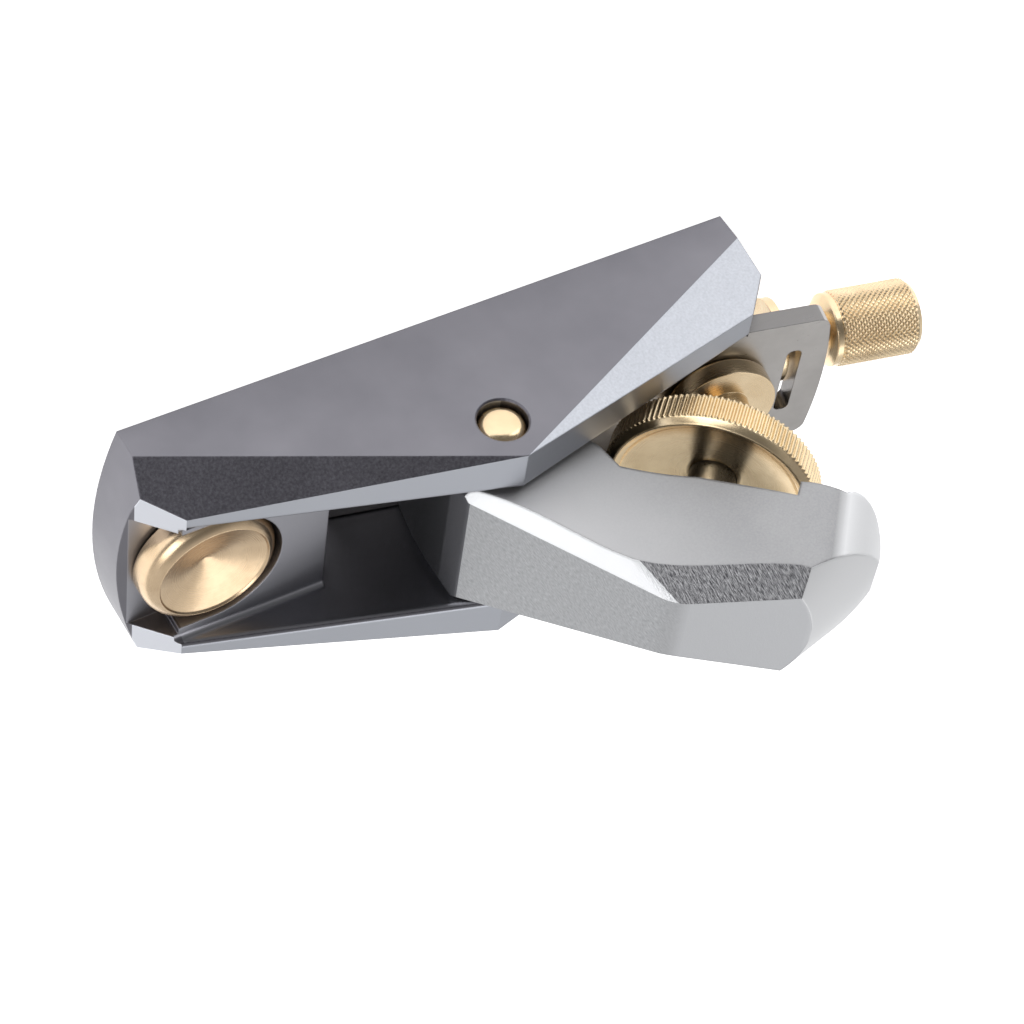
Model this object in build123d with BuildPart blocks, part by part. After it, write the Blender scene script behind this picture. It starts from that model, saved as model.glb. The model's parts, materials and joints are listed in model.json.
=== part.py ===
from build123d import *
from math import cos, radians, sin, tan
import os

# Small low-angle block plane. Millimetres. The sole lies on Z = 0, +X points to the toe and
# the blade leans back towards the heel. X = 0 is the line of the lever cap's cross pin.

# body
half_width = 22.7
nose_tip_x = 59.0
nose_corner_x = 55.0
heel_tip_x = -56.4
heel_corner_x = -55.0
peak_height = 31.0
corner_height = 5.45          # height of the flat wall at the toe and heel corners
gap_half_width = 14.7         # half the space between the side walls
toe_rim_x = 51.0
toe_rim_height = 16.25
heel_rim_x = -49.7
heel_rim_height = 19.25
heel_top_height = 13.1
platform_height = 9.6         # low deck behind the nose
platform_half_width = 13.4
toe_deck_height = 15.0        # top of the toe block, flush with the finger rest
toe_block_rear_x = 25.0
rim_rounding = 1.0            # on the inner edges of the side walls' rims
deck_rounding = 1.2
pocket_radius = 12.05

# blade and bed
bed_angle = 12.0
mouth_x = 18.2                # where the bed plane meets the sole
blade_width = 28.7
blade_thickness = 3.6
blade_edge_s = 0.5            # cutting edge, measured up the bed from the mouth
blade_tail_s = 87.0
bevel_angle = 25.0
slot_s = 80.7
slot_length = 15.0
slot_width = 2.7

# depth adjuster, all along one axis under the blade
adjuster_drop = 5.7           # axis below the bed plane
flange_radius = 7.3
flange_thickness = 1.6
flange_hub_radius = 4.2
adjuster_screw_radius = 2.5
adjuster_screw_start_s = 58.0
heel_nut_start_s = 62.0
heel_nut_end_s = 74.4
heel_nut_radius = 4.2
knob_start_s = 90.0
knob_length = 17.0
knob_radius = 6.7

# toe plate and finger rest
toe_plate_front_x = 51.0
toe_plate_half_width = 14.5
toe_plate_height = 4.6
toe_plate_gap = 0.1
finger_knob_x = 45.2
finger_knob_radius = 11.7
finger_knob_top = 15.5
finger_dish_radius = 9.6
finger_dish_depth = 3.4
stud_radius = 3.0
stud_slot_travel = 2.2

# lever cap
pin_height = 23.0
pin_radius = 4.1
pin_end_recess = 0.5
pin_end_rounding = 2.2
cap_half_width = 13.9
cap_lip_x = 6.2               # where the cap presses on the blade
cap_front_x = 8.8
cap_back_angle = 40.0         # slope of the line that the waisted outline is drawn along
cap_bend = (-13.96, 56.1)     # where the front slope and the palm slope would meet
cap_bend_radius = 12.0
cap_corner_radius = 3.0
dome_axis = 3.0               # from the bend to the turning axis of the palm's domed end

# clamp screw: a leaning axis from the pad's ball up into the lever cap
clamp_lean = 45.0             # angle between the clamp axis and vertical
ball_x = -45.9
ball_above_blade = 6.4
ball_radius = 2.6
neck_radius = 1.8
wheel_radius = 17.85
wheel_rim_width = 4.8
wheel_rim_start = 10.62       # distance from the ball to the rim's lower edge
wheel_hub_start = 5.4
clamp_screw_radius = 4.0
clamp_screw_end = 36.0
pad_radius = 9.2
pad_thickness = 3.7

# running clearances, on the radius or per face
shaft_clearance = 0.05
face_clearance = 0.05

bed_sin = sin(radians(bed_angle))
bed_cos = cos(radians(bed_angle))
# bed plane: local X runs up the blade towards the heel, local Z stands off the bed
bed_plane = Plane(origin=(mouth_x, 0, 0), x_dir=(-bed_cos, 0, bed_sin), z_dir=(bed_sin, 0, bed_cos))


def bed_point(s, off=0.0):
    """Point in the XZ plane at s along the bed and off above it."""
    return mouth_x - s * bed_cos + off * bed_sin, s * bed_sin + off * bed_cos


def adjuster_plane(s):
    """Plane across the adjuster's axis at s, facing the heel."""
    x, z = bed_point(s, -adjuster_drop)
    return Plane(origin=(x, 0, z), x_dir=(0, 1, 0), z_dir=(-bed_cos, 0, bed_sin))


blade_top_slope = tan(radians(bed_angle))
blade_top_at_zero = bed_point(0, blade_thickness)[1] + bed_point(0, blade_thickness)[0] * blade_top_slope


def blade_top(x):
    """Height of the blade's upper face above the sole at x."""
    return blade_top_at_zero - x * blade_top_slope


ball_z = blade_top(ball_x) + ball_above_blade / bed_cos
clamp_axis = (sin(radians(clamp_lean)), 0, cos(radians(clamp_lean)))


def clamp_plane(distance):
    """Plane across the clamp axis at a distance from the ball, facing up the axis."""
    origin = (ball_x + distance * clamp_axis[0], 0, ball_z + distance * clamp_axis[2])
    return Plane(origin=origin, x_dir=(0, 1, 0), z_dir=clamp_axis)


def facet_plane(side, *points):
    """Plane through three points of the left side, mirrored by side and facing out."""
    first, second, third = [Vector(x, side * y, z) for x, y, z in points]
    normal = (second - first).cross(third - first)
    if normal.Y * side < 0:
        normal = normal * -1
    return Plane(origin=first, z_dir=normal)


# ---- body -------------------------------------------------------------------------------
with BuildPart() as body:
    with BuildSketch(Plane.XY):
        with BuildLine():
            Line((heel_corner_x, -half_width), (nose_corner_x, -half_width))
            ThreePointArc((nose_corner_x, -half_width), (nose_tip_x, 0), (nose_corner_x, half_width))
            Line((nose_corner_x, half_width), (heel_corner_x, half_width))
            ThreePointArc((heel_corner_x, half_width), (heel_tip_x, 0), (heel_corner_x, -half_width))
        make_face()
    extrude(amount=peak_height)
    # rims: one slope up from the toe, one down to the heel
    with BuildSketch(Plane.XZ):
        with BuildLine():
            Polyline(
                (nose_tip_x + 2, 0),
                (nose_tip_x + 2, platform_height - 2),
                (nose_corner_x + 2.2, platform_height + 0.2),
                (toe_rim_x, toe_rim_height),
                (0, peak_height),
                (heel_rim_x, heel_rim_height),
                (heel_corner_x, heel_top_height),
                (heel_tip_x - 2, heel_top_height - 2),
                (heel_tip_x - 2, 0),
                close=True,
            )
        make_face()
    extrude(amount=half_width + 1, both=True, mode=Mode.INTERSECT)
    # four outside facets
    wall_peak = (0, half_width, peak_height)
    for side in (-1, 1):
        for corner_x, upper_point in (
            (nose_corner_x, (toe_rim_x, 17.2, toe_rim_height)),
            (heel_corner_x, (heel_rim_x, 20.25, heel_rim_height)),
        ):
            lower_point = (corner_x, half_width, corner_height)
            wall_facet = facet_plane(side, wall_peak, lower_point, upper_point)
            split(bisect_by=wall_facet, keep=Keep.BOTTOM)
    # space between the walls: down to the bed, with the throat in front of it
    with BuildSketch(Plane.XZ):
        with BuildLine():
            Polyline(
                (mouth_x, -1),
                bed_point(0),
                bed_point(90),
                (heel_tip_x - 12, peak_height + 5),
                (toe_block_rear_x, peak_height + 5),
                (toe_block_rear_x, toe_deck_height),
                (toe_block_rear_x - 3.6, toe_plate_height + 0.2),
                (mouth_x + 2.0, toe_plate_height + 0.2),
                (mouth_x + 2.0, -1),
                close=True,
            )
        make_face()
    extrude(amount=gap_half_width, both=True, mode=Mode.SUBTRACT)
    # deck of the toe block, with hollow corners beside the walls
    with BuildSketch(Plane.YZ.offset(toe_block_rear_x - 1)):
        with Locations((0, toe_deck_height + 20)):
            RectangleRounded(2 * gap_half_width, 40, deck_rounding)
    extrude(amount=toe_rim_x + 0.9 - toe_block_rear_x + 1, mode=Mode.SUBTRACT)
    # rounded inner edges of the rims
    for rim_end_x, rim_end_height in ((toe_rim_x, toe_rim_height), (heel_rim_x, heel_rim_height)):
        rim_run = Vector(rim_end_x, 0, rim_end_height - peak_height)
        for side in (-1, 1):
            across = Plane(origin=(0, 0, peak_height), x_dir=(0, side, 0), z_dir=rim_run)
            above_rim = 1 if across.y_dir.Z > 0 else -1
            with BuildSketch(across):
                with Locations((gap_half_width + rim_rounding / 2, 0)):
                    Rectangle(rim_rounding, 2 * rim_rounding)
                with Locations((gap_half_width + rim_rounding, -above_rim * rim_rounding)):
                    Circle(rim_rounding, mode=Mode.SUBTRACT)
            extrude(amount=rim_run.length, mode=Mode.SUBTRACT)
    # low platform behind the nose, then the round pocket for the finger rest
    with BuildSketch(Plane.XY.offset(platform_height)):
        with Locations((finger_knob_x + 20, 0)):
            Rectangle(40, 2 * pocket_radius)
        with Locations((finger_knob_x, 0)):
            Circle(pocket_radius)
        with Locations((toe_rim_x + 10, 0)):
            Rectangle(20, 2 * platform_half_width)
    extrude(amount=peak_height, mode=Mode.SUBTRACT)
    # recess for the toe plate, and its stud's slot
    with BuildSketch(Plane.XZ):
        with BuildLine():
            Polyline(
                (mouth_x + 0.4, -1),
                (toe_plate_front_x + 2.0, -1),
                (toe_plate_front_x + 2.0, toe_plate_height + face_clearance),
                (mouth_x + 0.4, toe_plate_height + face_clearance),
                close=True,
            )
        make_face()
    extrude(amount=toe_plate_half_width + toe_plate_gap, both=True, mode=Mode.SUBTRACT)
    with BuildSketch(Plane.XY):
        with Locations((finger_knob_x + 0.5, 0)):
            SlotOverall(2 * stud_radius + 0.4 + stud_slot_travel + 1.0, 2 * stud_radius + 0.4)
    extrude(amount=platform_height + 1, mode=Mode.SUBTRACT)
    # cross pin bore
    with BuildSketch(Plane.XZ.offset(-half_width - 1)):
        with Locations((0, pin_height)):
            Circle(pin_radius + 0.02)
    extrude(amount=2 * half_width + 2, mode=Mode.SUBTRACT)
    # bore for the heel nut, and the screw's run beyond it
    with BuildSketch(adjuster_plane(heel_nut_start_s)):
        Circle(heel_nut_radius)
    extrude(amount=20, mode=Mode.SUBTRACT)
    with BuildSketch(adjuster_plane(adjuster_screw_start_s - 4)):
        Circle(adjuster_screw_radius + 0.4)
    extrude(amount=20, mode=Mode.SUBTRACT)
    # soften the bore mouths
    bore_edges = body.edges().filter_by(GeomType.CIRCLE).filter_by(
        lambda e: abs(abs(e.center().Y) - half_width) < 0.6 and abs(e.radius - pin_radius) < 0.1
    )
    chamfer(bore_edges, 0.3)
body.part.label = "body"

# ---- blade ------------------------------------------------------------------------------
with BuildPart() as blade:
    with BuildSketch(bed_plane):
        with BuildLine():
            Line((blade_edge_s, -blade_width / 2), (blade_tail_s - 1.2, -blade_width / 2))
            ThreePointArc(
                (blade_tail_s - 1.2, -blade_width / 2),
                (blade_tail_s, 0),
                (blade_tail_s - 1.2, blade_width / 2),
            )
            Line((blade_tail_s - 1.2, blade_width / 2), (blade_edge_s, blade_width / 2))
            Line((blade_edge_s, blade_width / 2), (blade_edge_s, -blade_width / 2))
        make_face()
    extrude(amount=blade_thickness)
    tail_corners = blade.edges().filter_by(Axis((0, 0, 0), bed_plane.z_dir)).sort_by(Axis.X)[:2]
    fillet(tail_corners, 2.4)
    # bevel ground on the upper face
    bevel_run = blade_thickness / tan(radians(bevel_angle))
    with BuildSketch(Plane(bed_plane.origin, x_dir=bed_plane.x_dir, z_dir=(0, 1, 0))):
        with BuildLine():
            Polyline(
                (blade_edge_s - 1, 0),
                (blade_edge_s, 0),
                (blade_edge_s + bevel_run, -blade_thickness),
                (blade_edge_s + bevel_run, -blade_thickness - 1),
                (blade_edge_s - 1, -blade_thickness - 1),
                close=True,
            )
        make_face()
    extrude(amount=blade_width, both=True, mode=Mode.SUBTRACT)
    with BuildSketch(bed_plane):
        with Locations((slot_s, 0)):
            RectangleRounded(slot_width, slot_length, 1.1)
    extrude(amount=blade_thickness, mode=Mode.SUBTRACT)
blade.part.label = "blade"

# ---- depth adjuster ---------------------------------------------------------------------
with BuildPart() as heel_nut:
    with BuildSketch(adjuster_plane(heel_nut_start_s)):
        Circle(heel_nut_radius)
        Circle(adjuster_screw_radius + shaft_clearance, mode=Mode.SUBTRACT)
    extrude(amount=heel_nut_end_s - heel_nut_start_s)
heel_nut.part.label = "heel_nut"

with BuildPart() as adjuster_screw:
    with BuildSketch(adjuster_plane(adjuster_screw_start_s)):
        Circle(adjuster_screw_radius)
    extrude(amount=knob_start_s + knob_length - 4 - adjuster_screw_start_s)
    chamfer(adjuster_screw.edges().filter_by(GeomType.CIRCLE), 0.5)
    with BuildSketch(Plane(adjuster_plane(slot_s + 2.3).origin, z_dir=bed_plane.z_dir)):
        Circle(0.75)
    extrude(amount=flange_radius, both=True, mode=Mode.SUBTRACT)
    with BuildSketch(Plane(adjuster_plane(knob_start_s + 1.6).origin, z_dir=(0, 1, 0))):
        Circle(0.75)
    extrude(amount=knob_radius, both=True, mode=Mode.SUBTRACT)
adjuster_screw.part.label = "adjuster_screw"

with BuildPart() as adjuster_flange:
    with BuildSketch(adjuster_plane(slot_s - flange_thickness / 2)):
        Circle(flange_radius)
        Circle(adjuster_screw_radius, mode=Mode.SUBTRACT)
    extrude(amount=flange_thickness)
    with BuildSketch(adjuster_plane(slot_s + flange_thickness / 2)):
        Circle(flange_hub_radius)
        Circle(adjuster_screw_radius, mode=Mode.SUBTRACT)
    extrude(amount=3.0)
    with BuildSketch(Plane(adjuster_plane(slot_s + 2.3).origin, z_dir=bed_plane.z_dir)):
        Circle(0.75)
    extrude(amount=flange_radius, both=True, mode=Mode.SUBTRACT)
adjuster_flange.part.label = "adjuster_flange"

with BuildPart() as flange_pin:
    with BuildSketch(Plane(adjuster_plane(slot_s + 2.3).origin, z_dir=bed_plane.z_dir)):
        Circle(0.75)
    extrude(amount=flange_hub_radius, both=True)
flange_pin.part.label = "flange_pin"

with BuildPart() as adjuster_knob:
    with BuildSketch(Plane.XZ):
        with BuildLine():
            knob_profile = [(0, 0), (0, 5.2), (1.0, 6.4), (2.2, 6.4), (2.5, knob_radius)]
            knob_profile += [(knob_length - 0.9, knob_radius), (knob_length, knob_radius - 0.9)]
            knob_profile += [(knob_length, 0)]
            Polyline(
                *[bed_point(knob_start_s + s, -adjuster_drop + r) for s, r in knob_profile],
                close=True,
            )
        make_face()
    knob_axis = Axis(adjuster_plane(0).origin, adjuster_plane(0).z_dir)
    revolve(axis=knob_axis)
    with BuildSketch(adjuster_plane(knob_start_s)):
        Circle(adjuster_screw_radius)
    extrude(amount=knob_length - 4, mode=Mode.SUBTRACT)
    with BuildSketch(Plane(adjuster_plane(knob_start_s + 1.6).origin, z_dir=(0, 1, 0))):
        Circle(0.75)
    extrude(amount=knob_radius, both=True, mode=Mode.SUBTRACT)
adjuster_knob.part.label = "adjuster_knob"

with BuildPart() as knob_pin:
    with BuildSketch(Plane(adjuster_plane(knob_start_s + 1.6).origin, z_dir=(0, 1, 0))):
        Circle(0.75)
    extrude(amount=6.0, both=True)
knob_pin.part.label = "knob_pin"

# ---- toe plate and finger rest ----------------------------------------------------------
with BuildPart() as toe_plate:
    with BuildSketch(Plane.XZ):
        with BuildLine():
            Polyline(
                (mouth_x + 1.0, 0),
                (toe_plate_front_x, 0),
                (toe_plate_front_x, toe_plate_height),
                (mouth_x + 3.2, toe_plate_height),
                close=True,
            )
        make_face()
    extrude(amount=toe_plate_half_width, both=True)
    with BuildSketch(Plane.XY):
        with Locations((finger_knob_x, 0)):
            Circle(stud_radius)
    extrude(amount=toe_plate_height, mode=Mode.SUBTRACT)
    with BuildSketch(Plane.XY):
        with Locations((finger_knob_x, 0)):
            Circle(stud_radius + 1.6)
    extrude(amount=1.6, taper=45, mode=Mode.SUBTRACT)
toe_plate.part.label = "toe_plate"

with BuildPart() as toe_stud:
    with BuildSketch(Plane.XY.offset(0.3)):
        with Locations((finger_knob_x, 0)):
            Circle(stud_radius)
    extrude(amount=finger_knob_top - finger_dish_depth - 1.6)
    with BuildSketch(Plane.XY.offset(0.3)):
        with Locations((finger_knob_x, 0)):
            Circle(stud_radius + 1.3)
    extrude(amount=1.3, taper=45)
toe_stud.part.label = "toe_stud"

with BuildPart() as knob_washer:
    with BuildSketch(Plane.XY.offset(platform_height)):
        with Locations((finger_knob_x, 0)):
            Circle(7.0)
            Circle(stud_radius + shaft_clearance, mode=Mode.SUBTRACT)
    extrude(amount=0.8)
knob_washer.part.label = "knob_washer"

with BuildPart() as front_knob:
    with BuildSketch(Plane.XZ):
        knob_base = platform_height + 0.2
        shoulder = finger_knob_top - 3.4
        cone_tip = finger_knob_top - finger_dish_depth
        with BuildLine():
            Polyline(
                (finger_knob_x, cone_tip),
                (finger_knob_x, knob_base),
                (finger_knob_x + finger_knob_radius - 0.4, knob_base),
                (finger_knob_x + finger_knob_radius, knob_base + 0.4),
                (finger_knob_x + finger_knob_radius, shoulder),
            )
            ThreePointArc(
                (finger_knob_x + finger_knob_radius, shoulder),
                (finger_knob_x + finger_dish_radius + 1.35, finger_knob_top - 1.05),
                (finger_knob_x + finger_dish_radius, finger_knob_top),
            )
            Polyline(
                (finger_knob_x + finger_dish_radius, finger_knob_top),
                (finger_knob_x + finger_dish_radius - 0.25, finger_knob_top - 0.4),
                (finger_knob_x, cone_tip),
            )
        make_face()
    revolve(axis=Axis((finger_knob_x, 0, 0), (0, 0, 1)))
    with BuildSketch(Plane.XY.offset(platform_height)):
        with Locations((finger_knob_x, 0)):
            Circle(7.1)
    extrude(amount=0.8, mode=Mode.SUBTRACT)
    with BuildSketch(Plane.XY.offset(platform_height)):
        with Locations((finger_knob_x, 0)):
            Circle(stud_radius + shaft_clearance)
    extrude(amount=1.4, mode=Mode.SUBTRACT)
front_knob.part.label = "front_knob"

# ---- lever cap --------------------------------------------------------------------------
back_sin = sin(radians(cap_back_angle))
back_cos = cos(radians(cap_back_angle))
# seen square to the cap's back: local X runs towards the palm's end, local Z stands off the back
cap_back = Plane(
    origin=(cap_bend[0], 0, cap_bend[1]),
    x_dir=(-back_cos, 0, back_sin),
    z_dir=(back_sin, 0, back_cos),
)

# blank with a turned end that gives the palm its domed shape
palm_dome_line = Axis((cap_back * Pos(dome_axis, 0, 0)).position, cap_back.z_dir)
dome_profile = [(0, -70), (0, 30), (11.0, 10), (16.3, 0), (19.2, -4.6), (26.6, -16.0)]
dome_profile += [(30.0, -22.0), (34.0, -70)]
with BuildPart() as palm_dome:
    with BuildSketch(Plane(origin=cap_back.origin, x_dir=cap_back.z_dir, z_dir=(0, -1, 0))):
        with BuildLine():
            Polyline(*[(height, dome_axis + radius) for radius, height in dome_profile], close=True)
        make_face()
    revolve(axis=palm_dome_line)
    with BuildSketch(cap_back):
        with Locations((dome_axis - 50, 0)):
            Rectangle(100, 80)
    extrude(amount=80, both=True)

with BuildPart() as lever_cap:
    with BuildSketch(Plane.XZ):
        with BuildLine():
            Polyline(
                (2.6, blade_top(2.6) + face_clearance),
                (cap_lip_x, blade_top(cap_lip_x) + face_clearance),
                (7.6, 13.6),
                (8.4, 20.0),
                (cap_front_x, 24.2),
                (8.0, 28.3),
                cap_bend,
                (-33.0, 66.5),
            )
            ThreePointArc((-33.0, 66.5), (-34.5, 66.9), (-36.2, 66.5))
            Line((-36.2, 66.5), (-46.4, 63.2))
            ThreePointArc((-46.4, 63.2), (-51.1, 60.3), (-52.7, 56.2))
            ThreePointArc((-52.7, 56.2), (-51.6, 52.9), (-48.2, 52.0))
            Polyline(
                (-48.2, 52.0),
                (-18.1, 31.4),
                (-17.0, 27.0),
                (-9.0, 14.5),
                (2.6, blade_top(2.6) + face_clearance),
            )
        make_face()
    extrude(amount=cap_half_width, both=True)
    bend_edge = lever_cap.edges().filter_by(Axis.Y).sort_by_distance((cap_bend[0], 0, cap_bend[1]))[0]
    fillet(bend_edge, cap_bend_radius)
    # waisted outline, seen square to the cap's back
    with BuildSketch(cap_back):
        with BuildLine():
            for side in (-1, 1):
                Line((-60, side * cap_half_width), (-34, side * cap_half_width))
                Spline(
                    (-34, side * cap_half_width),
                    (-20.2, side * 12.5),
                    (-6.2, side * 10.65),
                    (4.0, side * 11.45),
                    (18.0, side * 13.2),
                    tangents=((1, 0), (1, side * 0.05)),
                )
                ThreePointArc((18.0, side * 13.2), (26.0, side * 10.4), (30.9, side * 4.0))
            Line((-60, -cap_half_width), (-60, cap_half_width))
            ThreePointArc((30.9, -4.0), (31.6, 0), (30.9, 4.0))
        make_face()
    extrude(amount=80, both=True, mode=Mode.INTERSECT)
    add(palm_dome.part, mode=Mode.INTERSECT)
    # rounded front corners
    with BuildSketch(Plane.XY):
        with Locations((cap_front_x - 50, 0)):
            RectangleRounded(100, 2 * cap_half_width, cap_corner_radius)
    extrude(amount=100, mode=Mode.INTERSECT)
    # facets along both top edges: one over the front slope, one beside the palm
    top_bend_point = (cap_bend[0], 6.6, cap_bend[1])
    side_bend_point = (-10.6, 10.6, 48.15)
    for side in (-1, 1):
        for edge_point in ((8.0, 12.13, 28.3), (-33.5, 10.07, 66.79)):
            cap_facet = facet_plane(side, top_bend_point, side_bend_point, edge_point)
            split(bisect_by=cap_facet, keep=Keep.BOTTOM)
    with BuildSketch(Plane.XZ.offset(-cap_half_width - 1)):
        with Locations((0, pin_height)):
            Circle(pin_radius + shaft_clearance)
    extrude(amount=2 * cap_half_width + 2, mode=Mode.SUBTRACT)
    # shallow round relief over the wheel's rim
    with BuildSketch(clamp_plane(10)):
        Circle(wheel_radius + 1.3)
    extrude(amount=12.6, mode=Mode.SUBTRACT)
    # blind threaded hole for the clamp screw
    with BuildSketch(clamp_plane(20)):
        Circle(clamp_screw_radius + shaft_clearance)
    extrude(amount=clamp_screw_end + 5.5 - 20, mode=Mode.SUBTRACT)
lever_cap.part.label = "lever_cap"

with BuildPart() as cross_pin:
    with BuildSketch(Plane.XZ.offset(-half_width + pin_end_recess)):
        with Locations((0, pin_height)):
            Circle(pin_radius)
    extrude(amount=2 * (half_width - pin_end_recess))
    fillet(cross_pin.edges().filter_by(GeomType.CIRCLE), pin_end_rounding)
cross_pin.part.label = "cross_pin"

# ---- clamp wheel, screw and pad ---------------------------------------------------------
with BuildPart() as clamp_wheel:
    rim_top = wheel_rim_start + wheel_rim_width
    wheel_side = Plane(clamp_plane(0).origin, x_dir=(0, 1, 0), z_dir=(clamp_axis[2], 0, -clamp_axis[0]))
    with BuildSketch(wheel_side):
        with BuildLine():
            Polyline(
                (0, wheel_hub_start),
                (5.0, wheel_hub_start),
                (6.0, wheel_hub_start + 1.0),
                (6.6, wheel_rim_start - 1.2),
                (wheel_radius - 1.2, wheel_rim_start),
                (wheel_radius, wheel_rim_start),
                (wheel_radius, rim_top),
                (wheel_radius - 1.3, rim_top + 1.0),
                (wheel_radius - 1.7, rim_top + 1.0),
                (wheel_radius - 2.7, rim_top + 0.4),
            )
            ThreePointArc((wheel_radius - 2.7, rim_top + 0.4), (8.6, rim_top - 2.1), (0, rim_top - 2.8))
            Line((0, rim_top - 2.8), (0, wheel_hub_start))
        make_face()
    revolve(axis=Axis(clamp_plane(0).origin, clamp_axis))
    with BuildSketch(clamp_plane(wheel_hub_start)):
        Circle(neck_radius)
    extrude(amount=4, mode=Mode.SUBTRACT)
    with BuildSketch(clamp_plane(wheel_hub_start + 4)):
        Circle(clamp_screw_radius)
    extrude(amount=20, mode=Mode.SUBTRACT)
clamp_wheel.part.label = "clamp_wheel"

with BuildPart() as clamp_screw:
    with BuildSketch(clamp_plane(0)):
        Circle(neck_radius)
    extrude(amount=wheel_hub_start + 4)
    with BuildSketch(clamp_plane(wheel_hub_start + 4)):
        Circle(clamp_screw_radius)
    extrude(amount=clamp_screw_end - wheel_hub_start - 4)
    chamfer(clamp_screw.edges().group_by(Axis(clamp_plane(0).origin, clamp_axis))[-1], 0.6)
    with Locations(clamp_plane(0)):
        Sphere(ball_radius)
clamp_screw.part.label = "clamp_screw"

pad_plane = Plane(origin=(ball_x, 0, ball_z), x_dir=(0, 1, 0), z_dir=bed_plane.z_dir)
with BuildPart() as pressure_pad:
    with BuildSketch(pad_plane.offset(-ball_above_blade + face_clearance)):
        Circle(pad_radius)
    extrude(amount=pad_thickness)
    fillet(pressure_pad.edges().filter_by(GeomType.CIRCLE).sort_by(Axis.Z)[0], 0.9)
    with BuildSketch(pad_plane.offset(-ball_above_blade + pad_thickness)):
        Circle(4.4)
    extrude(amount=2.6, taper=6)
    with Locations(pad_plane):
        Sphere(ball_radius + 0.1, mode=Mode.SUBTRACT)
    with BuildSketch(pad_plane):
        Circle(ball_radius - 0.2)
    extrude(amount=6, taper=-35, mode=Mode.SUBTRACT)
pressure_pad.part.label = "pressure_pad"

with BuildPart() as thrust_washer:
    with BuildSketch(clamp_plane(wheel_hub_start - 1.0)):
        Circle(4.2)
        Circle(neck_radius + shaft_clearance, mode=Mode.SUBTRACT)
    extrude(amount=1.0)
thrust_washer.part.label = "thrust_washer"

sub_parts = [body, toe_plate, toe_stud, knob_washer, front_knob, blade, heel_nut, adjuster_screw]
sub_parts += [adjuster_flange, flange_pin, adjuster_knob, knob_pin, lever_cap, cross_pin]
sub_parts += [clamp_wheel, clamp_screw, thrust_washer, pressure_pad]

os.makedirs("parts", exist_ok=True)
for sub_part in sub_parts:
    export_step(sub_part.part, f"parts/{sub_part.part.label}.step")
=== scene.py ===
import json
import math
import bpy
from mathutils import Matrix, Vector


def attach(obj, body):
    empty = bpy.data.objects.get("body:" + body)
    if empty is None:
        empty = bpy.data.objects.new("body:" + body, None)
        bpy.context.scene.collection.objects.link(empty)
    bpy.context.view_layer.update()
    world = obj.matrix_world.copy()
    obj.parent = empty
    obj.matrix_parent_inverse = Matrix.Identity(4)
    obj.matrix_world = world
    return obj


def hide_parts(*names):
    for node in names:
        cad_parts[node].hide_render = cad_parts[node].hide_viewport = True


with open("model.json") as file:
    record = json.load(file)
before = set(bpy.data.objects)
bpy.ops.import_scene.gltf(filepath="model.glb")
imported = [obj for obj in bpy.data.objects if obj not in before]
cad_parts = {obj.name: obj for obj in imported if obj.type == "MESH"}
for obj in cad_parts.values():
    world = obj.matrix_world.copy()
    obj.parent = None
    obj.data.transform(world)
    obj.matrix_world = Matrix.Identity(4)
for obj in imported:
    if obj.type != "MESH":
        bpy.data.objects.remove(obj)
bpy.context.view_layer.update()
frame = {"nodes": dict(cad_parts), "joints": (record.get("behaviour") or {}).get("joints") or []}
nodes = frame["nodes"]
joints = {joint["name"]: joint for joint in frame["joints"]}
scene = bpy.context.scene
mm = 0.001
print("frame loaded:", len(nodes), "nodes")


# a Wire is one output socket, so shader maths reads as plain Python

class Wire:
    def __init__(self, finish, socket):
        self.finish = finish
        self.socket = socket

    def math(self, operation, first, second):
        node = self.finish.add("ShaderNodeMath", {"operation": operation}, {0: first, 1: second})
        return Wire(self.finish, node.outputs[0])

    def __add__(self, other):
        return self.math("ADD", self, other)

    def __radd__(self, other):
        return self.math("ADD", other, self)

    def __sub__(self, other):
        return self.math("SUBTRACT", self, other)

    def __rsub__(self, other):
        return self.math("SUBTRACT", other, self)

    def __mul__(self, other):
        return self.math("MULTIPLY", self, other)

    def __pow__(self, other):
        return self.math("POWER", self, other)

    def __gt__(self, other):
        return self.math("GREATER_THAN", self, other)

    def __lt__(self, other):
        return self.math("LESS_THAN", self, other)

    def __abs__(self):
        return self.math("ABSOLUTE", self, 0.0)

    def capped(self):  # held between 0 and 1
        return self.math("MINIMUM", self.math("MAXIMUM", self, 0.0), 1.0)


# a Finish is one material with its Principled shader

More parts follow.
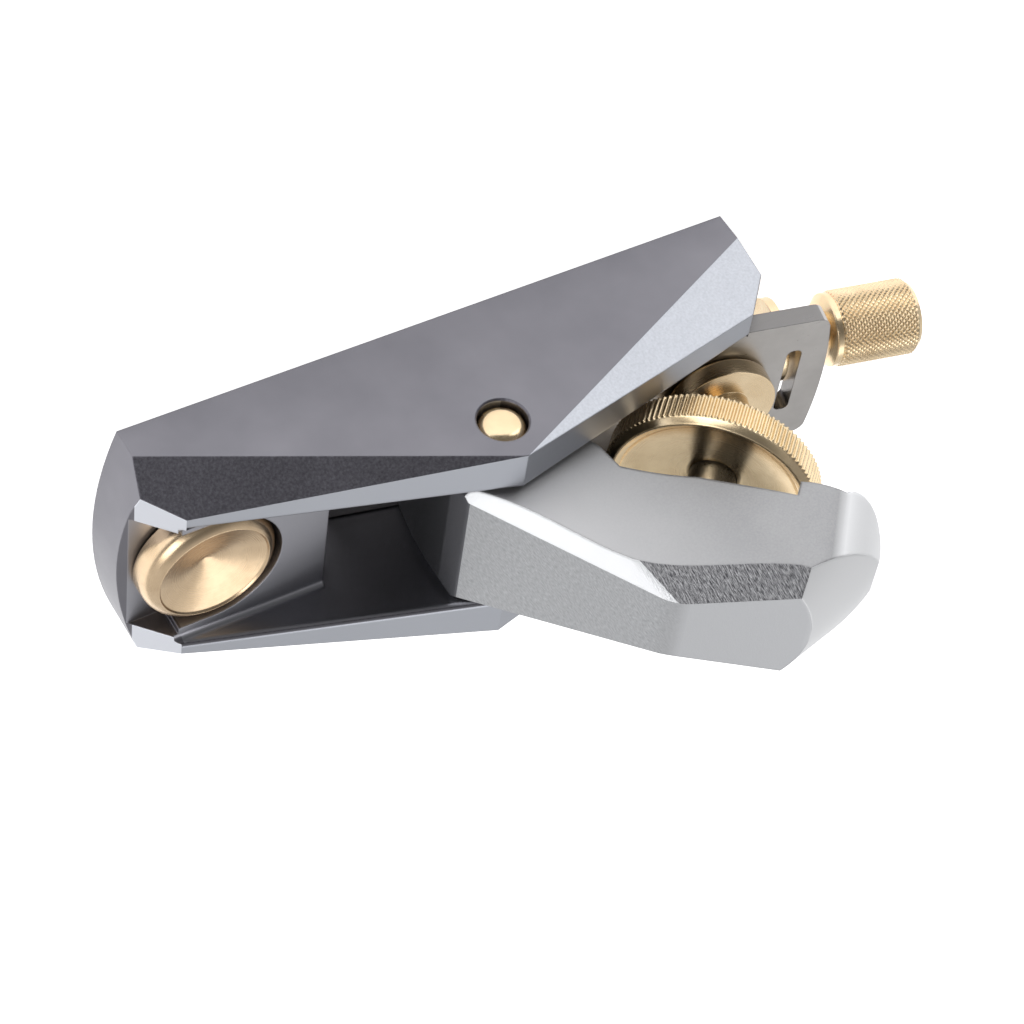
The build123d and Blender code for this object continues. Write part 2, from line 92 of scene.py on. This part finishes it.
class Finish:
    def __init__(self, name, constants):
        self.material = bpy.data.materials.new(name)
        self.material.use_nodes = True
        self.tree = self.material.node_tree
        self.tree.nodes.clear()
        self.shader = self.add("ShaderNodeBsdfPrincipled", {}, constants)
        self.add("ShaderNodeOutputMaterial", {}, {"Surface": self.shader.outputs[0]})
        spot = self.add("ShaderNodeTexCoord", {}, {})
        self.place = Wire(self, spot.outputs["Object"])
        self.facing = Wire(self, spot.outputs["Normal"])

    def add(self, kind, settings, values):
        node = self.tree.nodes.new(kind)
        for name, setting in settings.items():
            setattr(node, name, setting)
        for name, value in values.items():
            socket = node.inputs[name]
            if isinstance(value, Wire):
                self.tree.links.new(value.socket, socket)
            elif isinstance(value, bpy.types.NodeSocket):
                self.tree.links.new(value, socket)
            else:
                socket.default_value = value
        return node

    def joined(self, *values):
        node = self.add("ShaderNodeCombineXYZ", {}, dict(enumerate(values)))
        return Wire(self, node.outputs[0])

    def parts(self, vector):
        node = self.add("ShaderNodeSeparateXYZ", {}, {0: vector})
        return [Wire(self, output) for output in node.outputs]

    def mapped(self, move=(0, 0, 0), turn=(0, 0, 0), scale=(1, 1, 1)):
        node = self.add("ShaderNodeMapping", {"vector_type": "POINT"},
                        {"Vector": self.place, "Location": move, "Rotation": turn, "Scale": scale})
        return Wire(self, node.outputs[0])

    def noise(self, vector, scale, detail=2.0, roughness=0.5):
        node = self.add("ShaderNodeTexNoise", {},
                        {"Vector": vector, "Scale": scale, "Detail": detail, "Roughness": roughness})
        return Wire(self, node.outputs[0])

    def rings(self, distance, scale):  # fine lathe marks around a turning axis
        node = self.add("ShaderNodeTexNoise", {"noise_dimensions": "1D"},
                        {"W": distance * scale, "Scale": 1.0, "Detail": 3.0, "Roughness": 0.6})
        return Wire(self, node.outputs[0])

    def blend(self, factor, first, second):
        node = self.add("ShaderNodeMix", {"data_type": "RGBA"}, {"Factor": factor, 6: first, 7: second})
        return Wire(self, node.outputs[2])

    def set(self, name, wire):
        self.tree.links.new(wire.socket, self.shader.inputs[name])

    def relief(self, height, depth, edge):
        # edges are softened by the given radius, then the surface gets its grain
        softEdge = self.add("ShaderNodeBevel", {"samples": 6}, {"Radius": edge})
        bump = self.add("ShaderNodeBump", {}, {
            "Strength": 1.0, "Distance": depth, "Height": height, "Normal": softEdge.outputs[0],
        })
        self.set("Normal", Wire(self, bump.outputs[0]))


def colour(red, green, blue):
    return (red, green, blue, 1.0)


bodyLook = {
    "wall": colour(0.214, 0.210, 0.232),
    "wallMottle": colour(0.184, 0.181, 0.202),
    # painted light: the front facets are painted dark as shade and the rear facets pale as lit, each with
    # paler pebble specks
    "frontFacet": colour(0.115, 0.112, 0.130),
    "frontFacetPale": colour(0.205, 0.200, 0.228),
    "litRearFacet": colour(0.445, 0.460, 0.500),
    "litRearFacetPale": colour(0.530, 0.550, 0.595),
    # painted light: the upward-facing rims get a paler tone, as lit from above
    "rim": colour(0.42, 0.435, 0.475),
    # painted highlight: the sloping faces of the nose are painted very pale, as catching the light
    "noseHighlight": colour(0.82, 0.84, 0.90),
    "inside": colour(0.335, 0.335, 0.365),
    "wallRoughness": 0.36,
    "facetRoughness": 0.44,
    "mottleScale": 60,
    "fineScale": 5200,
    "lineScale": (18, 2600, 2600),         # polishing lines run along the wall
    "pebble": 0.00042,
    "pebbleDepth": 0.000042,
    "edge": 0.00035,
    "facetFrom": 0.0149,      # facets lie outside this half width
    "frontFacetFacing": (0.70, 0.90),      # how far each facet's normal leans sideways
    "rearFacetFacing": (0.93, 0.992),
    "upwardFacing": 0.90,
    "rimAbove": 0.0155,
    "insideTo": (-0.0545, 0.0505),
    "insideAbove": 0.003,
    "highlightAbove": 0.0102,
}


def makeBodySteel(name, look):
    steel = Finish(name, {"Metallic": 1.0, "Specular IOR Level": 0.5})
    x, y, z = steel.parts(steel.place)
    normalX, normalY, normalZ = steel.parts(steel.facing)
    outside = abs(y) > look["facetFrom"]
    sideways = abs(normalY)
    frontFrom, frontTo = look["frontFacetFacing"]
    rearFrom, rearTo = look["rearFacetFacing"]
    heelEnd, noseEnd = look["insideTo"]
    frontFacet = outside * (sideways > frontFrom) * (sideways < frontTo)
    litRearFacet = outside * (sideways > rearFrom) * (sideways < rearTo)
    upward = normalZ > look["upwardFacing"]
    # painted light goes on the upward-facing rims
    rim = upward * (z > look["rimAbove"])
    # painted highlight goes on the sloping faces of the nose
    sloping = (normalX > 0.5) * (normalZ > 0.5) * (sideways < 0.3)
    noseHighlight = sloping * (z > look["highlightAbove"]) * (x > noseEnd)
    behindNose = ((x < noseEnd) + upward).capped()
    deep = (x > heelEnd) * behindNose * (z > look["insideAbove"])
    inside = deep * (abs(y) < look["facetFrom"]) * (1 - rim)
    mottle = steel.noise(steel.place, look["mottleScale"], 3.0, 0.6)
    tone = steel.blend((mottle * 2.4 - 0.7).capped(), look["wall"], look["wallMottle"])
    tone = steel.blend(inside, tone, look["inside"])
    # painted light on the rims
    tone = steel.blend(rim, tone, look["rim"])
    # painted highlight on the nose slope
    tone = steel.blend(noseHighlight, tone, look["noseHighlight"])
    pebbles = steel.noise(steel.place, 1 / look["pebble"], 2.0, 0.55)
    blasted = ((pebbles - 0.5) * 2.0 + 0.4).capped()
    # painted shade on the front facets, painted light on the rear facets
    frontTone = steel.blend(blasted, look["frontFacet"], look["frontFacetPale"])
    rearTone = steel.blend(blasted, look["litRearFacet"], look["litRearFacetPale"])
    tone = steel.blend(frontFacet, tone, frontTone)
    tone = steel.blend(litRearFacet, tone, rearTone)
    fine = steel.noise(steel.place, look["fineScale"], 1.0, 0.5)
    lines = steel.noise(steel.mapped(scale=look["lineScale"]), 1.0, 3.0, 0.6)
    faceted = frontFacet + litRearFacet
    steel.set("Base Color", tone)
    rough = look["wallRoughness"] + (mottle - 0.5) * 0.14 + (lines - 0.5) * 0.05
    steel.set("Roughness", rough + faceted * (look["facetRoughness"] - look["wallRoughness"]))
    height = pebbles * faceted + fine * 0.10 + lines * 0.05
    steel.relief(height, look["pebbleDepth"], look["edge"])
    return steel.material


capLook = {
    # painted light: front, palm, end and side are one blasted metal, each painted the brightness its faces
    # get from the lamps; the end is painted palest as lit
    "front": colour(0.480, 0.487, 0.502),
    "palm": colour(0.565, 0.572, 0.590),
    "end": colour(0.800, 0.806, 0.820),
    "side": colour(0.330, 0.332, 0.342),
    "sidePale": colour(0.390, 0.390, 0.398),
    # painted light: the front of the sides is painted paler, as lit
    "litSideFront": colour(0.560, 0.560, 0.572),
    # painted highlight: the front facets are painted near white, as catching the light
    "frontFacet": colour(0.90, 0.91, 0.93),
    "frontPale": colour(0.66, 0.67, 0.685),
    "frontDark": colour(0.33, 0.335, 0.348),
    # painted shade: the palm facets are painted dark, with paler scratch streaks
    "shadedPalmFacet": colour(0.120, 0.120, 0.130),
    "palmFacetPale": colour(0.60, 0.60, 0.62),
    "backTilt": (0.766, 0.643),   # direction towards the palm's end, as -X and +Z
    "palmAbove": 0.046,
    "streakAlong": (-0.405, 0.757, 0.513),
    "scratchAlong": (-0.162, -0.531, 0.832),
    "noseBand": (0.0238, 0.0285),
    # painted shade: the front of the nose is painted dark, as in shadow
    "nose": colour(0.150, 0.152, 0.165),
    "roughness": 0.52,
    "grain": 0.00036,
    "grainDepth": 0.000055,
    "edge": 0.00070,
    # the two facets on the near side, each through three points in millimetres
    "bend": ((-13.96, 6.6, 56.1), (-10.6, 10.6, 48.15)),
    "frontEnd": (8.0, 12.13, 28.3),
    "palmEnd": (-33.5, 10.07, 66.79),
    "planeReach": 0.00008,
    "angledFacing": (0.3, 0.93),
    "frontSlopeNormal": (0.785, 0, 0.62),
    "palmFacetNormal": (0.426, 0.723, 0.544),
    "streak": (4.0, 4600),        # how long for their width, and how fine
    "scratch": (5.0, 4800),
    "fineScale": 4600,
    "broadScale": 85,
    "sideFrontFrom": (-0.030, 26),  # painted light: the side turns paler from this X on, at this rate
}


def onPlane(spot, corners, reach):
    # 1 where a point, mirrored to positive Y, lies in the plane through three corners
    x, y, z = spot
    first, second, third = [Vector(corner) * mm for corner in corners]
    normal = (second - first).cross(third - first).normalized()
    offset = normal.dot(first)
    return abs(x * normal.x + abs(y) * normal.y + z * normal.z - offset) < reach


def brushed(finish, spot, normal, along, stretch, scale):
    # noise drawn out along one direction of a face
    x, y, z = spot
    facing = Vector(normal).normalized()
    run = Vector(along) - facing * facing.dot(Vector(along))
    run.normalize()
    across = facing.cross(run)
    onFace = finish.joined(
        (x * run.x + y * run.y + z * run.z) * (scale / stretch),
        (x * across.x + y * across.y + z * across.z) * scale,
        0.0,
    )
    return finish.noise(onFace, 1.0, 3.0, 0.6)


def makeBlastedAluminium(name, look):
    cast = Finish(name, {"Metallic": 1.0})
    spot = cast.parts(cast.place)
    x, y, z = spot
    normalX, normalY, normalZ = cast.parts(cast.facing)
    sideways = abs(normalY)
    angledFrom, angledTo = look["angledFacing"]
    angled = (sideways > angledFrom) * (sideways < angledTo)
    frontFacet = angled * onPlane(spot, (*look["bend"], look["frontEnd"]), look["planeReach"])
    shadedPalmFacet = angled * onPlane(spot, (*look["bend"], look["palmEnd"]), look["planeReach"])
    backward = normalZ * look["backTilt"][1] - normalX * look["backTilt"][0]
    plain = (1 - frontFacet) * (1 - shadedPalmFacet) * (z > look["palmAbove"])
    endFace = ((backward - 0.34) * 7).capped() * plain
    flat = (sideways < 0.25) * (1 - endFace)
    steep = ((normalX - 0.50) * 3.7).capped()
    frontSlope = flat * steep * (normalZ > 0.5)
    palmSlope = flat * (1 - steep) * (normalZ > 0.7)
    noseFrom, noseTo = look["noseBand"]
    nose = (z < noseTo) * (normalX > 0.5)
    noseGrain = nose * (z > noseFrom)
    # grain drawn out down both slopes, fine sand on the sides and the end
    streaks = brushed(cast, spot, look["frontSlopeNormal"], look["streakAlong"], *look["streak"])
    mirrored = (x, abs(y), z)
    scratches = brushed(cast, mirrored, look["palmFacetNormal"], look["scratchAlong"], *look["scratch"])
    grain = cast.noise(cast.place, 1 / look["grain"], 3.0, 0.6)
    fine = cast.noise(cast.place, look["fineScale"], 1.0, 0.5)
    broad = cast.noise(cast.place, look["broadScale"], 2.0, 0.5)
    sand = ((grain - 0.5) * 2.4 + (broad - 0.5) * 1.4 + 0.45).capped()
    tone = cast.blend(sand, look["side"], look["sidePale"])
    # painted light: the sides are painted paler towards the front
    palerFrom, palerRate = look["sideFrontFrom"]
    tone = cast.blend(((x - palerFrom) * palerRate).capped(), tone, look["litSideFront"])
    # painted light: the palm, front and end faces each get their own painted brightness
    tone = cast.blend(palmSlope, tone, look["palm"])
    tone = cast.blend(frontSlope, tone, look["front"])
    streakTone = cast.blend(((streaks - 0.5) * 2.2 + 0.5).capped(), look["frontDark"], look["frontPale"])
    tone = cast.blend(frontSlope * 0.70, tone, streakTone)
    tone = cast.blend(endFace, tone, look["end"])
    # painted shade on the nose
    tone = cast.blend(nose, tone, look["nose"])
    # painted shade on the palm facets, broken by paler scratches
    scratchMix = ((scratches - 0.5) * 3.2 + 0.42).capped()
    scratchTone = cast.blend(scratchMix, look["shadedPalmFacet"], look["palmFacetPale"])
    tone = cast.blend(shadedPalmFacet, tone, scratchTone)
    # painted highlight on the front facets
    tone = cast.blend(frontFacet, tone, look["frontFacet"])
    cast.set("Base Color", tone)
    cast.set("Roughness", look["roughness"] + (grain - 0.5) * 0.12)
    coarse = palmSlope * 0.4 + noseGrain * 0.6 + 0.15
    drawnOut = streaks * frontSlope + scratches * shadedPalmFacet
    height = drawnOut * 1.3 + grain * coarse * 0.6 + fine * 0.22
    cast.relief(height, look["grainDepth"], look["edge"])
    return cast.material


brassLook = {
    "metal": colour(0.820, 0.660, 0.430),
    "shade": colour(0.610, 0.450, 0.260),
    "roughness": 0.24,
    "ringScale": 5200,
    "ringDepth": 0.0000045,
    "edge": 0.00022,
}


# painted light: a paler copy of the brass for the pieces that look lit
litBrassLook = {
    **brassLook,
    "metal": colour(0.890, 0.715, 0.475),
    "shade": colour(0.680, 0.510, 0.310),
}
# painted shade: a darker copy of the brass for the finger rest
shadedBrassLook = {
    **brassLook,
    "metal": colour(0.760, 0.580, 0.385),
    "shade": colour(0.500, 0.355, 0.215),
    "roughness": 0.25,
}


def makeTurnedBrass(name, look, centre, axisTurn, anisotropy=0.0):
    # centre and axisTurn bring the turning axis of the piece onto local Z
    brass = Finish(name, {"Metallic": 1.0, "Anisotropic": anisotropy})
    local = Matrix.Rotation(-axisTurn, 3, "Y") @ Vector(centre)
    x, y, z = brass.parts(brass.mapped(move=(-local.x, -local.y, -local.z), turn=(0, -axisTurn, 0)))
    distance = (x ** 2 + y ** 2) ** 0.5
    turned = brass.rings(distance + z * 0.6, look["ringScale"])
    cloud = brass.noise(brass.place, 160, 3.0, 0.6)
    specks = brass.noise(brass.place, 2600, 2.0, 0.5)
    tone = brass.blend((cloud * 2.2 - 0.7).capped() * 0.7, look["metal"], look["shade"])
    brass.set("Base Color", tone)
    brass.set("Roughness", look["roughness"] + (turned - 0.5) * 0.16 + (cloud - 0.5) * 0.10)
    brass.relief(turned + specks * 0.3, look["ringDepth"], look["edge"])
    return brass.material


bladeLook = {
    "ground": colour(0.440, 0.424, 0.410),
    "dull": colour(0.350, 0.336, 0.325),
    # painted shade: faces that point sideways are painted darker
    "side": colour(0.210, 0.204, 0.202),
    "roughness": 0.33,
    "grindScale": (70, 3600, 3600),
    "grindDepth": 0.000007,
    "edge": 0.00028,
}


def makeGroundSteel(name, look):
    steel = Finish(name, {"Metallic": 1.0})
    grind = steel.noise(steel.mapped(turn=(0, math.radians(12), 0), scale=look["grindScale"]), 1.0, 3.0, 0.6)
    cloud = steel.noise(steel.place, 130, 3.0, 0.6)
    tone = steel.blend((cloud * 2.4 - 0.7).capped() * 0.8, look["ground"], look["dull"])
    # painted shade on the sideways faces
    tone = steel.blend(abs(steel.parts(steel.facing)[1]) > 0.9, tone, look["side"])
    steel.set("Base Color", tone)
    steel.set("Roughness", look["roughness"] + (grind - 0.5) * 0.22 + (cloud - 0.5) * 0.12)
    steel.relief(grind, look["grindDepth"], look["edge"])
    return steel.material


screwLook = {
    "ground": colour(0.40, 0.395, 0.39),
    "dull": colour(0.30, 0.295, 0.29),
    "side": colour(0.34, 0.335, 0.33),
    "roughness": 0.30,
    "grindScale": (2600, 2600, 2600),
    "grindDepth": 0.000004,
    "edge": 0.00015,
}

clampTurn = math.radians(45)
bedSlope = math.radians(12)
clampSpot = Vector(joints["wheel_spin"]["pos_m"])
adjusterSpot = Vector(joints["adjuster_spin"]["pos_m"])
adjusterTurn = bedSlope - math.pi / 2
knobSpot = Vector(joints["finger_rest_spin"]["pos_m"])

bodySteel = makeBodySteel("bodySteel", bodyLook)
blastedAluminium = makeBlastedAluminium("blastedAluminium", capLook)
groundSteel = makeGroundSteel("groundSteel", bladeLook)
screwSteel = makeGroundSteel("screwSteel", screwLook)
wheelBrass = makeTurnedBrass("wheelBrass", brassLook, clampSpot, clampTurn)
# the pad and adjuster get the painted-light brass, the finger rest the painted-shade brass
padBrass = makeTurnedBrass("padBrass", litBrassLook, clampSpot, bedSlope)
adjusterBrass = makeTurnedBrass("adjusterBrass", litBrassLook, adjusterSpot, adjusterTurn)
fingerBrass = makeTurnedBrass("fingerBrass", shadedBrassLook, knobSpot, 0.0, 0.6)
pinBrass = makeTurnedBrass("pinBrass", brassLook, Vector((0, 0, 0.023)), 0.0)

nodeFinish = {
    "body": bodySteel, "toe_plate": bodySteel,
    "blade": groundSteel,
    "lever_cap": blastedAluminium,
    "cross_pin": pinBrass, "heel_nut": adjusterBrass, "adjuster_flange": adjusterBrass,
    "pressure_pad": padBrass, "front_knob": fingerBrass,
    "flange_pin": screwSteel, "clamp_screw": screwSteel, "thrust_washer": screwSteel,
    "adjuster_screw": screwSteel, "knob_pin": screwSteel, "toe_stud": screwSteel,
    "knob_washer": screwSteel,
}
for nodeName, finish in nodeFinish.items():
    for materialSlot in nodes[nodeName].material_slots:
        materialSlot.material = finish
print("materials made:", len(bpy.data.materials))


def pickNothing():
    bpy.ops.object.select_all(action="DESELECT")


# the two turned pieces below get real knurling

def turnProfile(name, sides, profile):
    # a ring is grown along Z through (radius, height) pairs, as on a lathe
    pickNothing()
    firstRadius, firstHeight = profile[0]
    bpy.ops.mesh.primitive_circle_add(vertices=sides, radius=firstRadius, location=(0, 0, 0))
    piece = bpy.context.object
    piece.name = name
    bpy.ops.object.mode_set(mode="EDIT")
    bpy.ops.mesh.select_all(action="SELECT")
    bpy.ops.transform.translate(value=(0, 0, firstHeight))
    radius, height = firstRadius, firstHeight
    for nextRadius, nextHeight in profile[1:]:
        bpy.ops.mesh.extrude_region_move(TRANSFORM_OT_translate={"value": (0, 0, nextHeight - height)})
        grow = nextRadius / radius
        bpy.ops.transform.resize(value=(grow, grow, 1), center_override=(0, 0, nextHeight))
        radius, height = nextRadius, nextHeight
    return piece


def closeTurning(piece, place, turn, angle):
    # merged, closed, outward, then put on its own axis with the place in its mesh
    bpy.ops.mesh.select_all(action="SELECT")
    bpy.ops.mesh.remove_doubles(threshold=0.000002)
    bpy.ops.mesh.normals_make_consistent(inside=False)
    bpy.ops.object.mode_set(mode="OBJECT")
    bpy.ops.object.shade_smooth_by_angle(angle=math.radians(angle))
    piece.rotation_euler = (0, turn, 0)
    piece.location = place
    bpy.ops.object.transform_apply(location=True, rotation=True, scale=True)


def pickVertices(piece, wanted):
    # leaves edit mode to set the selection, then goes back
    bpy.ops.mesh.select_all(action="DESELECT")
    bpy.ops.object.mode_set(mode="OBJECT")
    for vertex in piece.data.vertices:
        vertex.select = wanted(vertex.co)
    bpy.ops.object.mode_set(mode="EDIT")
    bpy.ops.mesh.select_mode(type="VERT")


wheelShape = {
    "teeth": 112,
    "perTooth": 4,
    "radius": 17.84 * mm,
    "toothDepth": 0.40 * mm,
    "bandFrom": 10.72 * mm,
    "bandTo": 15.32 * mm,
    "profile": [
        (1.8, 5.42), (5.0, 5.42), (5.7, 5.9), (6.0, 6.5), (6.2, 7.6), (6.6, 9.25),
        (7.2, 9.5), (12.0, 10.1), (16.6, 10.64), (17.3, 10.66), (17.6, 10.74),
        (17.84, 10.9), (17.84, 12.4), (17.84, 13.8), (17.84, 15.25), (17.45, 15.42),
        (17.2, 15.57), (16.62, 16.28), (16.5, 16.38), (16.3, 16.42), (16.1, 16.37),
        (15.95, 16.22), (15.2, 15.84), (15.05, 15.62), (14.2, 15.17), (12.6, 14.47),
        (10.8, 13.87), (8.8, 13.4), (7.0, 13.1), (5.2, 12.9), (4.4, 12.82), (4.05, 12.6),
        (4.05, 9.5), (1.8, 9.4), (1.8, 5.42),
    ],
}


def makeClampWheel(shape):
    sides = shape["teeth"] * shape["perTooth"]
    profile = [(radius * mm, height * mm) for radius, height in shape["profile"]]
    wheel = turnProfile("clampWheelKnurled", sides, profile)
    step = 2 * math.pi / sides

    def inValley(spot):
        if not shape["bandFrom"] < spot.z < shape["bandTo"]:
            return False
        if math.hypot(spot.x, spot.y) < shape["radius"] - 0.3 * mm:
            return False
        return round(math.atan2(spot.y, spot.x) / step) % shape["perTooth"] in (0, 1)

    pickVertices(wheel, inValley)
    shrink = 1 - shape["toothDepth"] / shape["radius"]
    bpy.ops.transform.resize(value=(shrink, shrink, 1), center_override=(0, 0, 0))
    closeTurning(wheel, clampSpot, clampTurn, 28)
    wheel.data.materials.append(wheelBrass)
    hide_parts("clamp_wheel")
    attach(wheel, "wheel")
    return wheel


knobShape = {
    "around": 84,
    "rows": 27,
    "radius": 6.69 * mm,
    "depth": 0.38 * mm,
    "start": 5.0 * mm,       # from the joint's point to the collar's face
    "collar": [
        (2.6, 0.0), (4.9, 0.0), (5.2, 0.12), (6.3, 0.95),
        (6.4, 1.15), (6.4, 2.1), (6.3, 2.25), (6.25, 2.4),
    ],
    "knurlFrom": 2.65,
    "knurlTo": 15.9,
    "tail": [
        (6.25, 16.2), (5.85, 16.85), (5.5, 16.97), (4.6, 16.97),
        (4.4, 16.85), (1.2, 16.8), (0.9, 16.7),
    ],
}


def makeAdjusterKnob(shape):
    spacing = (shape["knurlTo"] - shape["knurlFrom"]) / (shape["rows"] - 1)
    band = [(shape["radius"] / mm, shape["knurlFrom"] + row * spacing) for row in range(shape["rows"])]
    profile = [(radius * mm, height * mm) for radius, height in shape["collar"] + band + shape["tail"]]
    knob = turnProfile("adjusterKnobKnurled", shape["around"], profile)
    bpy.ops.mesh.merge(type="CENTER")
    step = 2 * math.pi / shape["around"]
    low, high = (shape["knurlFrom"] - 0.01) * mm, (shape["knurlTo"] + 0.01) * mm

    def inGroove(spot):
        if not low < spot.z < high:
            return False
        row = round((spot.z - shape["knurlFrom"] * mm) / (spacing * mm))
        return (round(math.atan2(spot.y, spot.x) / step) + row) % 2 == 0

    pickVertices(knob, inGroove)
    shrink = 1 - shape["depth"] / shape["radius"]
    bpy.ops.transform.resize(value=(shrink, shrink, 1), center_override=(0, 0, 0))
    pickVertices(knob, lambda spot: low < spot.z < high)
    bpy.ops.mesh.quads_convert_to_tris(quad_method="SHORTEST_DIAGONAL")
    along = Vector((math.sin(adjusterTurn), 0, math.cos(adjusterTurn)))
    closeTurning(knob, adjusterSpot + along * shape["start"], adjusterTurn, 24)
    knob.data.materials.append(adjusterBrass)
    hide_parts("adjuster_knob")
    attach(knob, "adjuster")
    return knob


clampWheel = makeClampWheel(wheelShape)
adjusterKnob = makeAdjusterKnob(knobShape)
print("knurled pieces made:", clampWheel.name, adjusterKnob.name)


studio = {
    "floorSize": 8.0,
    "floorTone": colour(0.90, 0.90, 0.905),
    "floorGlow": 0.84,
    "floorHeight": -0.00004,
    "worldBright": 0.95,      # far side and overhead
    "worldDark": 0.22,        # near side, where the camera stands
    "worldFade": (-0.45, 0.25),
    "aim": (-0.005, 0, 0.022),     # point that the soft boxes face
}

pickNothing()
bpy.ops.mesh.primitive_plane_add(size=studio["floorSize"], location=(0, 0, studio["floorHeight"]))
floor = bpy.context.object
floor.name = "floor"
floorFinish = Finish("paleFloor", {
    "Base Color": studio["floorTone"], "Roughness": 0.9,
    "Emission Color": colour(1, 1, 1), "Emission Strength": studio["floorGlow"],
})
floor.data.materials.append(floorFinish.material)

world = bpy.data.worlds.new("studioRoom")
scene.world = world
world.use_nodes = True
room = world.node_tree
room.nodes.clear()
roomSpot = room.nodes.new("ShaderNodeTexCoord")
roomParts = room.nodes.new("ShaderNodeSeparateXYZ")
roomRamp = room.nodes.new("ShaderNodeMapRange")
roomLight = room.nodes.new("ShaderNodeBackground")
roomOut = room.nodes.new("ShaderNodeOutputWorld")
fadeFrom, fadeTo = studio["worldFade"]
fade = {
    "From Min": fadeFrom, "From Max": fadeTo,
    "To Min": studio["worldDark"], "To Max": studio["worldBright"],
}
for socketName, level in fade.items():
    roomRamp.inputs[socketName].default_value = level
room.links.new(roomSpot.outputs["Generated"], roomParts.inputs[0])
room.links.new(roomParts.outputs[1], roomRamp.inputs[0])
room.links.new(roomRamp.outputs[0], roomLight.inputs["Strength"])
room.links.new(roomLight.outputs[0], roomOut.inputs[0])

softBoxes = [
    # name, direction from the object, distance, width, height, brightness
    {"name": "toeBox", "way": (0.80, -0.42, 0.50), "distance": 0.9, "size": (0.50, 0.45), "radiance": 3.2},
    {"name": "heelBox", "way": (-0.62, -0.80, 0.14), "distance": 0.9, "size": (0.55, 0.28), "radiance": 2.3},
    {"name": "overBox", "way": (-0.10, 0.45, 0.95), "distance": 1.0, "size": (0.60, 0.50), "radiance": 1.2},
]
aim = Vector(studio["aim"])
for box in softBoxes:
    width, height = box["size"]
    lamp = bpy.data.lights.new(box["name"], "AREA")
    lamp.shape = "RECTANGLE"
    lamp.size, lamp.size_y = width, height
    lamp.energy = box["radiance"] * math.pi * width * height
    holder = bpy.data.objects.new(box["name"], lamp)
    scene.collection.objects.link(holder)
    way = Vector(box["way"]).normalized()
    holder.location = aim + way * box["distance"]
    holder.rotation_euler = way.to_track_quat("Z", "Y").to_euler()

# the camera is rolled, with the sole towards the top
eye = {
    "place": (0.1907767, -0.3918886, 0.2762602),
    "right": (-0.8603834, -0.1064916, 0.4983974),
    "down": (0.3341587, 0.6205088, 0.7094411),
    "ahead": (-0.3848095, 0.7769352, -0.4982904),
    "sensorWidth": 36.0,
    "lensLength": 110.1720234,
    "clip": (0.01, 20.0),
}
lens = bpy.data.cameras.new("studioCamera")
lens.sensor_width = eye["sensorWidth"]
lens.lens = eye["lensLength"]
lens.clip_start, lens.clip_end = eye["clip"]
camera = bpy.data.objects.new("studioCamera", lens)
scene.collection.objects.link(camera)
turned = Matrix((eye["right"], -Vector(eye["down"]), -Vector(eye["ahead"]))).transposed()
camera.matrix_world = Matrix.Translation(eye["place"]) @ turned.to_4x4()
scene.camera = camera
scene.view_settings.view_transform = "Standard"
print("stage and camera ready")
